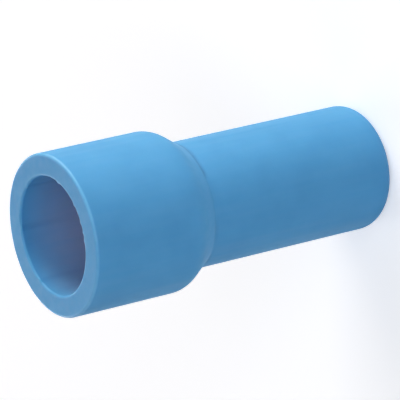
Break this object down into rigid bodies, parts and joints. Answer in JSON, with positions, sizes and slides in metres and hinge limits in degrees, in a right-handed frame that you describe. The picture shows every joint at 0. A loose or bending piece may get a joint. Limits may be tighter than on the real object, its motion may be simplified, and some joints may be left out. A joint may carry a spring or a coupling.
{
  "type": "closed-end wire connector",
  "caption": "Insulated closed-end crimp connector: a moulded blue plastic cap, wide at its open mouth and closed at its narrower barrel, with a copper crimp sleeve pressed inside.",
  "frame": {"origin": "centre of the closed end's flat foot, at the bottom of the bounding box", "axes": "+Z along the axis and out of the open mouth; +X and +Y are any two square directions, because the part is round"},
  "size_m": [0.0088, 0.0088, 0.0199],
  "materials": {
    "blue_plastic": "satin, as moulded, slightly translucent",
    "copper": "bare drawn copper, dull"
  },
  "bodies": {
    "root": {"insulating_cap": "blue_plastic", "crimp_sleeve": "copper"}
  },
  "joints": []
}
